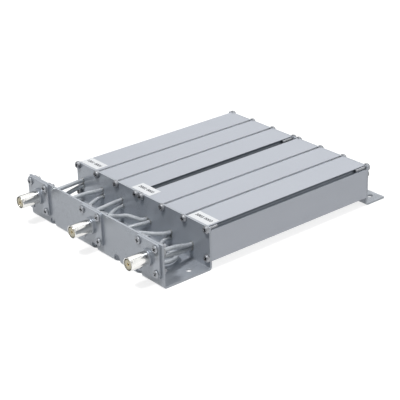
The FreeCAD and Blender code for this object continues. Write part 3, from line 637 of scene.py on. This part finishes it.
# Print on the labels
def print_row(index, numerals, middle_x):
    """Row of bold plain numerals on a label, as flat shapes just above the paper."""
    curve = bpy.data.curves.new(f"numerals_{index}", "FONT")
    curve.body = numerals
    curve.align_x = "CENTER"
    curve.align_y = "CENTER"
    curve.resolution_u = 3
    curve.offset = NUMERAL_BOLD
    holder = bpy.data.objects.new(f"numerals_{index}", curve)
    flat = bpy.data.meshes.new_from_object(holder)
    points = np.empty(len(flat.vertices) * 3)
    flat.vertices.foreach_get("co", points)
    points = points.reshape(-1, 3) * NUMERAL_SIZE
    points[:, 0] *= PRINT_LENGTH / np.ptp(points[:, 0])
    points += (middle_x, LABEL_FRONT + LABEL_DEPTH * PRINT_MIDDLE_SHARE, LABEL_TOP + PRINT_RISE)
    flat.vertices.foreach_set("co", points.ravel())
    flat.materials.clear()
    flat.materials.append(INK)
    flat.update()
    made = bpy.data.objects.new(f"label_print_{index}", flat)
    bpy.context.scene.collection.objects.link(made)
    bpy.data.objects.remove(holder)
    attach(made, "housing")


for index, (numerals, middle_x) in enumerate(zip(NUMERALS, LABELS_X)):
    print_row(index + 1, numerals, middle_x)

# Stage, light and camera
FLOOR_REACH = 12
FLOOR_TONE = (0.35, 0.35, 0.35, 1)
FLOOR_ROUGHNESS = 0.9
FLOOR_GLOW = 0.80
FLOOR_WHITE_FROM = 0.4
FLOOR_WHITE_AT = 1.6
WHITE = (1, 1, 1, 1)
WORLD_TONE = (0.97, 0.985, 1, 1)
WORLD_LEVEL = 0.10
WORLD_REFLECTED = 0.3

# Lights that face the middle of the part: name, place in metres, side in metres, power in watts
SOFTBOXES = (("front key", (0.1, -1.02, 2.0), 0.3, 29.5),
             ("rear card", (-1.3, 1.9, 1.5), 2.7, 22),
             ("right card", (2.0, 1.4, 1.35), 3.2, 27),
             ("overhead card", (0.1, 0.45, 2.3), 1.4, 14))


def stage_floor():
    """Pale floor that still takes shadows: for the camera and for reflections it also glows, from FLOOR_GLOW
    round the part to plain white further out."""
    corners = np.array([(-1, -1, 0), (1, -1, 0), (1, 1, 0), (-1, 1, 0)]) * FLOOR_REACH
    mesh = bpy.data.meshes.new("floor")
    mesh.from_pydata(corners, [], [(0, 1, 2, 3)])
    floor = bpy.data.objects.new("floor", mesh)
    bpy.context.scene.collection.objects.link(floor)
    made, tree, shader = material("pale floor")
    shader.inputs["Base Color"].default_value = FLOOR_TONE
    shader.inputs["Roughness"].default_value = FLOOR_ROUGHNESS
    shader.inputs["Specular IOR Level"].default_value = 0
    shader.inputs["Emission Color"].default_value = WHITE
    path = add(tree, "ShaderNodeLightPath", {}).outputs
    seen = math_node(tree, "MAXIMUM", path["Is Camera Ray"], path["Is Glossy Ray"])
    place = add(tree, "ShaderNodeTexCoord", {}).outputs["Object"]
    away = add(tree, "ShaderNodeVectorMath", {0: place}, operation="LENGTH").outputs["Value"]
    limits = {0: away, 1: FLOOR_WHITE_FROM, 2: FLOOR_WHITE_AT, 3: FLOOR_GLOW}
    glow = add(tree, "ShaderNodeMapRange", limits).outputs[0]
    tree.links.new(math_node(tree, "MULTIPLY", seen, glow), shader.inputs["Emission Strength"])
    mesh.materials.append(made)


def studio_world():
    """World that is white for the camera, mid grey in reflections and dim as a light."""
    world = bpy.data.worlds.new("studio")
    world.use_nodes = True
    tree = world.node_tree
    path = add(tree, "ShaderNodeLightPath", {}).outputs
    level = math_node(tree, "MAXIMUM", WORLD_LEVEL, path["Is Camera Ray"])
    reflected = math_node(tree, "MULTIPLY", path["Is Glossy Ray"], WORLD_REFLECTED)
    background = tree.nodes["Background"].inputs
    background["Color"].default_value = WORLD_TONE
    tree.links.new(math_node(tree, "MAXIMUM", level, reflected), background["Strength"])
    bpy.context.scene.world = world


def softbox(name, at, side, power):
    """Square area light that faces the middle of the part."""
    light = bpy.data.lights.new(name, "AREA")
    light.shape = "SQUARE"
    light.size = side
    light.energy = power
    made = bpy.data.objects.new(name, light)
    made.location = at
    made.rotation_euler = (-Vector(at)).to_track_quat("-Z", "Y").to_euler()
    bpy.context.scene.collection.objects.link(made)


def photo_camera():
    """Camera of the photograph: it looks along its yaw and pitch, and its roll turns it about that line."""
    forward = Vector((math.sin(CAMERA_YAW) * math.cos(CAMERA_PITCH), math.cos(CAMERA_YAW) * math.cos(CAMERA_PITCH),
                      -math.sin(CAMERA_PITCH)))
    level = Vector((math.cos(CAMERA_YAW), -math.sin(CAMERA_YAW), 0))
    upright = level.cross(forward)
    right = math.cos(CAMERA_ROLL) * level + math.sin(CAMERA_ROLL) * upright
    up = math.cos(CAMERA_ROLL) * upright - math.sin(CAMERA_ROLL) * level
    camera = bpy.data.objects.new("camera", bpy.data.cameras.new("camera"))
    camera.data.lens = CAMERA_LENS
    camera.data.sensor_width = SENSOR_WIDTH
    camera.matrix_world = Matrix.Translation(CAMERA_AT) @ Matrix((right, up, -forward)).transposed().to_4x4()
    bpy.context.scene.collection.objects.link(camera)
    bpy.context.scene.camera = camera


stage_floor()
studio_world()
for light in SOFTBOXES:
    softbox(*light)
photo_camera()
bpy.context.scene.view_settings.view_transform = "Standard"
